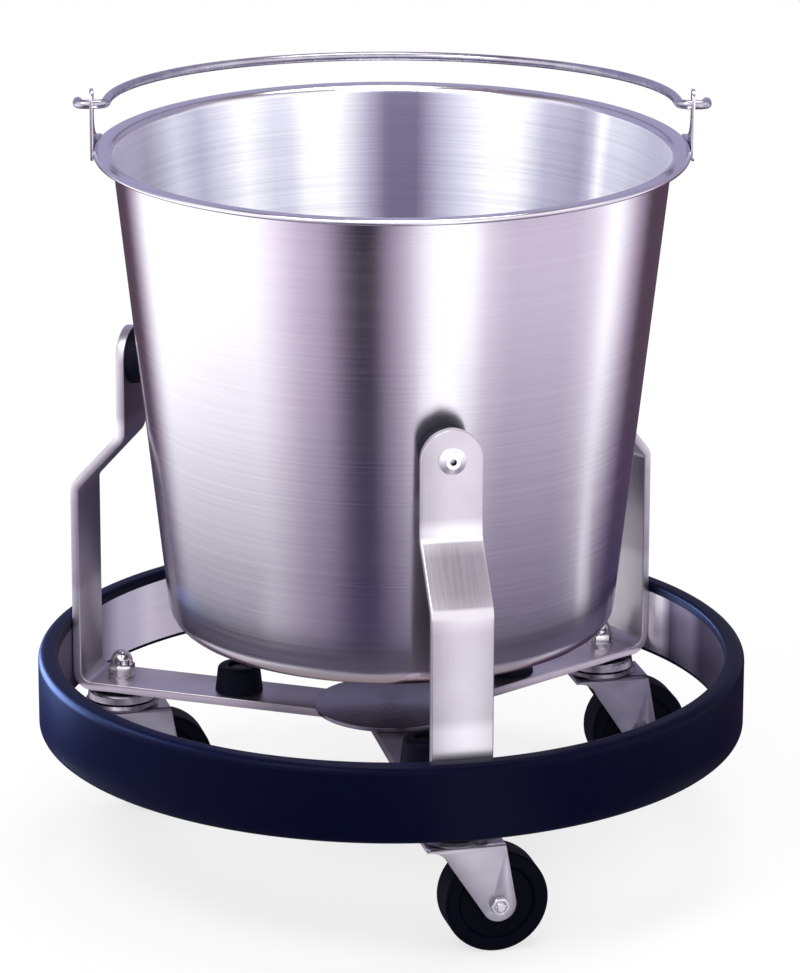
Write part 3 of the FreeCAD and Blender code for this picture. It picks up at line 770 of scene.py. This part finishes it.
def make_bail():
    """Wire bail swept along its half circle, end bends and hooks."""
    right = [(BAIL_HOOK_RADIUS, BAIL_HOOK_LENGTH, 0), (BAIL_HOOK_RADIUS, 0, BAIL_HOOK_BEND),
             (BAIL_RADIUS, 0, BAIL_END_BEND), (BAIL_RADIUS, BAIL_END_BEND, 0)]
    end = rounded_path(right, steps=8)
    path = end + [Vector((BAIL_RADIUS * math.cos(math.pi * step / BAIL_STEPS),
                          BAIL_END_BEND + BAIL_RADIUS * math.sin(math.pi * step / BAIL_STEPS)))
                  for step in range(1, BAIL_STEPS)]
    path += [Vector((-point.x, point.y)) for point in end[::-1]]
    clean = [path[0]] + [b for a, b in zip(path, path[1:]) if (b - a).length > 1e-6]
    sections = []
    for point, across in path_frames(clean):
        side = Vector((across.x, across.y, 0))
        up = Vector((0, 0, 1))
        turns = [2 * math.pi * step / WIRE_SIDES for step in range(WIRE_SIDES)]
        sections.append([Vector((point.x, point.y, 0))
                         + BAIL_WIRE * (math.cos(turn) * side + math.sin(turn) * up) for turn in turns])
    mesh = swept("bail_finish", sections)
    mesh.transform(Matrix.Translation((0, 0, PIVOT_HEIGHT))
                   @ Matrix.Rotation(math.radians(-BAIL_DROOP), 4, "X"))
    finished("bail_finish", mesh, wire_steel, "bail", "bail_handle", smooth=50)


# ---- frame --------------------------------------------------------------------------------

def bar_section(half_width, half_thickness, edge):
    """Rounded rectangle of a bar: (across, through) points."""
    edge = min(edge, half_width * 0.9)
    corners = [(-half_width, -half_thickness, edge), (half_width, -half_thickness, edge),
               (half_width, half_thickness, edge), (-half_width, half_thickness, edge)]
    return rounded_path(corners, closed=True, steps=3)


def grain_uv(mesh, lengths, ring_size):
    """UV map in metres: U across the bar, V along its developed length."""
    layer = mesh.uv_layers.new(name="UVMap")
    for loop in mesh.loops:
        vertex = loop.vertex_index
        across = mesh.vertices[vertex].co.y
        layer.data[loop.index].uv = (across, lengths[vertex // ring_size])


def make_leg(side, azimuth):
    """One-piece bar leg, swept along its bends, with a round top end."""
    middle = BAR_THICKNESS / 2
    foot = BAR_TOP - middle
    lower = LOWER_FACE - middle
    upper = UPPER_FACE - middle
    corners = [(BAR_START, foot, 0), (lower, foot, FOOT_BEND), (lower, JOGGLE_BOTTOM, JOGGLE_BEND),
               (upper, JOGGLE_TOP, JOGGLE_BEND), (upper, RIVET_HEIGHT, 0)]
    path = subdivided(rounded_path(corners, steps=8), LEG_LONGEST_RUN)
    half = BAR_WIDTH / 2
    widths = [half] * len(path)
    for step in range(1, LEG_END_STEPS + 1):
        angle = math.pi / 2 * step / LEG_END_STEPS
        path.append(Vector((upper, RIVET_HEIGHT + half * math.sin(angle))))
        widths.append(max(half * math.cos(angle), LEG_END_LEAST))
    sections = []
    for width, (point, through) in zip(widths, path_frames(path)):
        ring = []
        for across, depth in bar_section(width, middle, BAR_EDGE):
            spot = point + through * depth
            ring.append(Vector((spot.x, across, spot.y)))
        sections.append(ring)
    lengths = [0.0]
    for before, point in zip(path, path[1:]):
        lengths.append(lengths[-1] + (point - before).length)
    name = "leg_" + side + "_finish"
    mesh = swept(name, sections)
    grain_uv(mesh, lengths, len(sections[0]))
    turn_to(mesh, azimuth)
    finished(name, mesh, bar_steel, "frame", "leg_" + side, smooth=32)


def make_disc():
    """Thin hub disc on the three feet."""
    radius = disc_high.x
    profile = rounded_path([(0, disc_low.z, 0), (radius, disc_low.z, DISC_EDGE),
                            (radius, disc_high.z, DISC_EDGE), (0, disc_high.z, 0)], steps=4)
    name = "hub_disc_finish"
    finished(name, lathed(name, profile, DISC_ROUND), hub_steel, "frame", "hub_disc")


def make_hoop():
    """Steel band, and the rubber strip whose lips lie over its two edges."""
    profile = rounded_path([(HOOP_INSIDE, band_low.z, 0), (HOOP_OUTSIDE, band_low.z, 0),
                            (HOOP_OUTSIDE, band_high.z, 0), (HOOP_INSIDE, band_high.z, 0)], closed=True)
    name = "hoop_band_finish"
    mesh = lathed(name, profile, LARGE_ROUND, closed=True)
    finished(name, mesh, band_steel, "frame", "hoop_band")
    profile = rounded_path([(HOOP_INSIDE, band_high.z, 0),
                            (HOOP_INSIDE, bumper_high.z, BUMPER_TOP_INNER_EDGE),
                            (bumper_high.x, bumper_high.z, BUMPER_TOP_OUTER_EDGE),
                            (bumper_high.x, bumper_low.z, BUMPER_LOW_OUTER_EDGE),
                            (HOOP_INSIDE, bumper_low.z, BUMPER_LOW_INNER_EDGE),
                            (HOOP_INSIDE, band_low.z, 0), (HOOP_OUTSIDE, band_low.z, 0),
                            (HOOP_OUTSIDE, band_high.z, 0)], closed=True, steps=8)
    name = "bumper_finish"
    mesh = lathed(name, profile, LARGE_ROUND, closed=True)
    finished(name, mesh, bumper_rubber, "frame", "bumper_strip", smooth=50)


def make_blocks():
    """Tapered rubber stop blocks on the feet, each with a recess for its screw."""
    reach = Vector((block_low + block_high) / 2).xy.length
    recess_floor = block_high.z - BLOCK_RECESS
    profile = rounded_path([(BLOCK_BORE, block_low.z, 0), (BLOCK_BOTTOM_RADIUS, block_low.z, 0),
                            (BLOCK_TOP_RADIUS, block_high.z, BLOCK_EDGE),
                            (BLOCK_RECESS_RADIUS, block_high.z, BLOCK_RECESS_EDGE),
                            (BLOCK_RECESS_RADIUS, recess_floor, 0), (BLOCK_BORE, recess_floor, 0)],
                           closed=True)
    for side, azimuth in LEG_AZIMUTHS.items():
        node = "rest_block_" + side
        mesh = lathed(node + "_finish", profile, SMALL_ROUND, closed=True)
        mesh.transform(Matrix.Translation((reach, 0, 0)))
        turn_to(mesh, azimuth)
        finished(node + "_finish", mesh, pad_rubber, "frame", node)


# ---- casters and fasteners ----------------------------------------------------------------

def make_wheel(side):
    """Solid wheel with crowned tread, dished sides and a raised hub."""
    dish = WHEEL_HALF - WHEEL_DISH_DEPTH
    half = [(WHEEL_BORE, -WHEEL_HUB_HALF, 0), (WHEEL_HUB_RADIUS, -WHEEL_HUB_HALF, WHEEL_EDGE),
            (WHEEL_HUB_RADIUS + WHEEL_EDGE, -dish, WHEEL_EDGE),
            (WHEEL_DISH_RADIUS - WHEEL_EDGE, -dish, WHEEL_EDGE),
            (WHEEL_DISH_RADIUS, -WHEEL_HALF, WHEEL_EDGE), (WHEEL_RADIUS, -WHEEL_HALF, TREAD_EDGE)]
    other = [(u, -v, radius) for u, v, radius in half[::-1]]
    node = "wheel_" + side
    mesh = lathed(node + "_finish", rounded_path(half + other, closed=True), WHEEL_ROUND, closed=True)
    mesh.transform(Matrix.Translation((TRAIL, 0, AXLE_HEIGHT)) @ Matrix.Rotation(math.radians(-90), 4, "X"))
    move_to_caster(mesh, side)
    finished(node + "_finish", mesh, wheel_rubber, node, node, smooth=40)


def dress_side(side):
    """The CAD's own shapes at one leg: some with broken edges, some with a finish alone."""
    caster = "caster_" + side
    softened("fork_" + side, FORK_EDGE, fork_steels[side], caster)
    softened("dome_nut_" + side, DOME_NUT_EDGE, nut_chrome, "frame")
    softened("axle_nut_" + side, AXLE_NUT_EDGE, fastener_steel, caster)
    softened("wall_pad_" + side, WALL_PAD_EDGE, pad_rubber, "frame", flat=1.5)
    for node, finish in (("kingpin", fastener_steel), ("upper_race", race_steel), ("lower_race", race_steel),
                         ("race_balls", nut_chrome), ("axle_bolt", fastener_steel),
                         ("axle_bushing", fastener_steel), ("pad_rivet", rivet_steel)):
        dressed(node + "_" + side, finish)


make_pail()
make_bail()
for side, azimuth in LEG_AZIMUTHS.items():
    make_leg(side, azimuth)
make_disc()
make_hoop()
make_blocks()
for side in LEG_AZIMUTHS:
    make_wheel(side)
    dress_side(side)
for side in ("left", "right"):
    softened("ear_" + side, EAR_EDGE, pail_steel, "pail")
dressed("block_screws", screw_black)
dressed("lock_washers", fastener_steel)


# ---- floor, surround, lamps and camera ----------------------------------------------------

FLOOR_COLOUR = (0.93, 0.93, 0.93, 1)
FLOOR_WHITENESS = 0.7
FLOOR_NEAR = 0.4
FLOOR_FAR = 1.6
FLOOR_HALF = 9.0


def make_floor():
    """Large pale floor that keeps the shadow near the object and turns white far away."""
    material, g, shader = new_material("floor_white")
    g.feed(shader, {"Base Color": FLOOR_COLOUR, "Roughness": 0.9, "Specular IOR Level": 0.1})
    x, y, _ = g.split(g.at())
    whiteness = g.between(g.radius(x, y), FLOOR_NEAR, FLOOR_FAR, FLOOR_WHITENESS, 1.0)
    seen = g.math("MULTIPLY", g.add("ShaderNodeLightPath").outputs["Is Camera Ray"], whiteness)
    white = g.add("ShaderNodeEmission", {"Color": WHITE, "Strength": 1.0})
    mixed = g.add("ShaderNodeMixShader", {0: seen, 1: shader.outputs[0], 2: white.outputs[0]})
    g.feed(g.tree.get_output_node("ALL"), {0: mixed.outputs[0]})
    corners = [(-FLOOR_HALF, -FLOOR_HALF, 0), (FLOOR_HALF, -FLOOR_HALF, 0),
               (FLOOR_HALF, FLOOR_HALF, 0), (-FLOOR_HALF, FLOOR_HALF, 0)]
    mesh = bpy.data.meshes.new("floor")
    mesh.from_pydata(corners, [], [(0, 1, 2, 3)])
    mesh.materials.append(material)
    floor = bpy.data.objects.new("floor", mesh)
    bpy.context.scene.collection.objects.link(floor)
    floor.visible_glossy = False


def emission_only(name):
    """Material with an empty tree apart from its output; returns it, its graph and the output."""
    material = bpy.data.materials.new(name)
    material.use_nodes = True
    material.node_tree.nodes.clear()
    g = Graph(material.node_tree)
    return material, g, g.add("ShaderNodeOutputMaterial")


def reflected_only(mesh, material):
    """Scene piece that shows in reflections alone."""
    mesh.materials.append(material)
    piece = bpy.data.objects.new(material.name, mesh)
    bpy.context.scene.collection.objects.link(piece)
    piece.visible_camera = False
    piece.visible_diffuse = False
    piece.visible_shadow = False


PANEL = (0.97, 0.97, 1.0, 1)
LILAC = (0.76, 0.70, 0.78, 1)
CLOUD = (0.74, 0.72, 0.77, 1)
LAMPED = (0.72, 0.71, 0.74, 1)
OYSTER = (0.68, 0.65, 0.70, 1)
PALE = (0.61, 0.57, 0.64, 1)
HEATHER = (0.50, 0.44, 0.54, 1)
HAZE = (0.48, 0.43, 0.515, 1)
STORM = (0.42, 0.37, 0.44, 1)
MAUVE = (0.34, 0.29, 0.37, 1)
GRAPE = (0.32, 0.26, 0.34, 1)
WINE = (0.28, 0.23, 0.29, 1)
SMOKE = (0.18, 0.14, 0.20, 1)
INK = (0.11, 0.08, 0.12, 1)
PLUM = (0.055, 0.033, 0.050, 1)
GAP = (0.010, 0.006, 0.014, 1)
SURROUND_BANDS = (
    (-180, PLUM), (-146, PLUM), (-138, WINE), (-124, PANEL), (-62, PANEL), (-51, LILAC), (-41, HEATHER),
    (-29, MAUVE), (-21, INK), (-15, GAP), (-8, GAP), (-3, SMOKE), (5, STORM), (13, CLOUD), (20, PANEL),
    (33, PANEL), (41, PALE), (52, HAZE), (84, HAZE), (96, PALE), (107, PANEL), (114, OYSTER),
    (124, GRAPE), (136, PLUM), (180, PLUM))
EVENING = (0.26, 0.26, 0.38, 1)
NIGHT = (0.24, 0.23, 0.34, 1)
DIM = (0.24, 0.22, 0.29, 1)
UPPER_TONES = ((-180, NIGHT), (-110, EVENING), (-85, LAMPED), (85, LAMPED), (110, DIM), (180, NIGHT))
UPPER_FROM = -0.3
UPPER_FULL = 0.3
SURROUND_RADIUS = 3.2
SURROUND_HALF = 4.0
SURROUND_GLOW = 1.75


def angle_from_front(g, x, y):
    return g.math("ARCTAN2", x, g.math("MULTIPLY", y, -1.0))


def make_surround():
    """Round studio wall seen only in reflections: light panels and dark gaps about the object."""
    material, g, output = emission_only("surround")
    x, y, z = g.split(g.at())
    angle = angle_from_front(g, x, y)
    tone = g.blend(g.between(z, UPPER_FROM, UPPER_FULL), g.tones(angle, SURROUND_BANDS),
                   g.tones(angle, UPPER_TONES))
    glow = g.add("ShaderNodeEmission", {"Color": tone, "Strength": SURROUND_GLOW})
    g.feed(output, {0: glow.outputs[0]})
    wall = [Vector((SURROUND_RADIUS, height)) for height in (-SURROUND_HALF, 0.0, SURROUND_HALF)]
    reflected_only(lathed("surround", wall, DISC_ROUND), material)


SHADE_TONE = (0.05, 0.04, 0.11, 1)
SHADE_HEIGHT = 65 * MM
SHADE_INNER = 0.20
SHADE_OUTER = 0.70
SHADE_LEAST = 0.06
NOTCHES = ((18, 7, 13, 0.85), (95, 3, 11, 0.55), (-40, 12, 32, 0.33))
CASTER_SHADE_FULL = 0.22
CASTER_SHADE_OUTER = 0.34
CASTER_SHADE_DEPTH = 0.55


def make_shade(name, radii, height, clearness):
    """Shaded disc or ring that only reflections see, clear where clearness(g, x, y) is 1."""
    material, g, output = emission_only(name)
    x, y, _ = g.split(g.at())
    veil = g.add("ShaderNodeBsdfTransparent", {"Color": WHITE})
    dark = g.add("ShaderNodeEmission", {"Color": SHADE_TONE, "Strength": 1.0})
    mixed = g.add("ShaderNodeMixShader", {0: clearness(g, x, y), 1: dark.outputs[0], 2: veil.outputs[0]})
    g.feed(output, {0: mixed.outputs[0]})
    ring = [Vector((radius, height)) for radius in radii]
    reflected_only(lathed(name, ring, SMALL_ROUND), material)


def pail_clearness(g, x, y):
    """Darker by the hoop and clearer outwards; open at each (middle, half, fade) angle, by an amount."""
    clear = g.between(g.radius(x, y), SHADE_INNER, SHADE_OUTER, SHADE_LEAST, 1.0)
    angle = angle_from_front(g, x, y)
    for middle, half, fade, amount in NOTCHES:
        away = g.distance(angle, math.radians(middle))
        opened = g.between(away, math.radians(fade), math.radians(half), 0.0, amount)
        clear = g.math("MAXIMUM", clear, opened)
    return clear


def caster_clearness(g, x, y):
    """Half dark under the frame, clear outside it."""
    return g.between(g.radius(x, y), CASTER_SHADE_FULL, CASTER_SHADE_OUTER, 1.0 - CASTER_SHADE_DEPTH, 1.0)


ZENITH = (0.22, 0.18, 0.23, 1)
OVERHEAD_FROM = 0.5
OVERHEAD_FULL = 0.85
SKY_LIGHT = 0.85


def make_world():
    """White sky to the eye, dimmer overhead in reflections, and an even soft light."""
    world = bpy.data.worlds.new("studio")
    bpy.context.scene.world = world
    world.use_nodes = True
    world.node_tree.nodes.clear()
    g = Graph(world.node_tree)
    path = g.add("ShaderNodeLightPath")
    _, _, up = g.split(g.at("Generated"))
    overhead = g.math("MULTIPLY", g.between(up, OVERHEAD_FROM, OVERHEAD_FULL), path.outputs["Is Glossy Ray"])
    reflected = g.math("MAXIMUM", path.outputs["Is Glossy Ray"], path.outputs["Is Transmission Ray"])
    seen = g.math("MAXIMUM", path.outputs["Is Camera Ray"], reflected)
    sky = g.add("ShaderNodeBackground", {"Color": g.blend(overhead, WHITE, ZENITH),
                                         "Strength": g.between(seen, 0.0, 1.0, SKY_LIGHT, 1.0)})
    g.add("ShaderNodeOutputWorld", {0: sky.outputs[0]})


PLAIN_LIGHT = (1, 1, 1)
BLUE_LIGHT = (0.3, 0.45, 1.0)


def add_lamp(name, place, aim, size, power, colour=PLAIN_LIGHT, lit=None):
    """Soft area lamp aimed at a point; lit names the only piece that it reaches, if any."""
    data = bpy.data.lights.new(name, "AREA")
    data.color = colour
    data.shape = "DISK"
    data.size = size
    data.energy = power
    lamp = bpy.data.objects.new(name, data)
    lamp.location = place
    lamp.rotation_euler = (Vector(aim) - Vector(place)).to_track_quat("-Z", "Y").to_euler()
    bpy.context.scene.collection.objects.link(lamp)
    if lit:
        reached = bpy.data.collections.new(name + "_reach")
        reached.objects.link(bpy.data.objects[lit])
        lamp.light_linking.receiver_collection = reached


CAMERA_DISTANCE = 2.5
CAMERA_HEIGHT = 0.9797
CAMERA_SIDE = -0.016
AIM_SIDE = 0.0044
AIM_HEIGHT = 0.1984
ROLL = 0.15
FOCAL_PIXELS = 4993.0
FRAME_HEIGHT = 973.0
SENSOR = 24.0


def make_camera():
    """Long lens from the front, a little above the pail."""
    data = bpy.data.cameras.new("view")
    data.sensor_fit = "VERTICAL"
    data.sensor_height = SENSOR
    data.lens = FOCAL_PIXELS / FRAME_HEIGHT * SENSOR
    data.clip_end = 60
    camera = bpy.data.objects.new("view", data)
    place = Vector((CAMERA_SIDE, -CAMERA_DISTANCE, CAMERA_HEIGHT))
    aim = Vector((AIM_SIDE, 0, AIM_HEIGHT))
    facing = (aim - place).to_track_quat("-Z", "Y").to_matrix().to_4x4()
    camera.matrix_world = Matrix.Translation(place) @ facing @ Matrix.Rotation(math.radians(ROLL), 4, "Z")
    bpy.context.scene.collection.objects.link(camera)
    bpy.context.scene.camera = camera


make_floor()
make_surround()
make_shade("floor_shade", (SHADE_INNER, (SHADE_INNER + SHADE_OUTER) / 2, SHADE_OUTER), SHADE_HEIGHT,
           pail_clearness)
make_shade("caster_shade", (0, CASTER_SHADE_FULL, CASTER_SHADE_OUTER), -1 * MM, caster_clearness)
make_world()
add_lamp("key", (-1.2, -1.6, 2.6), (0, 0, 0.2), size=1.4, power=30)
add_lamp("top", (0.3, 0.2, 2.4), (0, 0, 0.3), size=1.2, power=16)
add_lamp("mouth", (0, -0.6, 1.3), (0, 0.12, 0.3), size=0.6, power=13, lit="pail_shell_finish")
add_lamp("side", (-1.7, 1.4, 0.15), (-0.1, 0, 0.1), size=1.5, power=190, colour=BLUE_LIGHT,
         lit="bumper_finish")
add_lamp("side_high", (-1.7, 0.5, 1.5), (-0.1, 0, 0.1), size=1.0, power=50, colour=BLUE_LIGHT,
         lit="bumper_finish")
make_camera()

scene_view = bpy.context.scene.view_settings
scene_view.view_transform = "Standard"
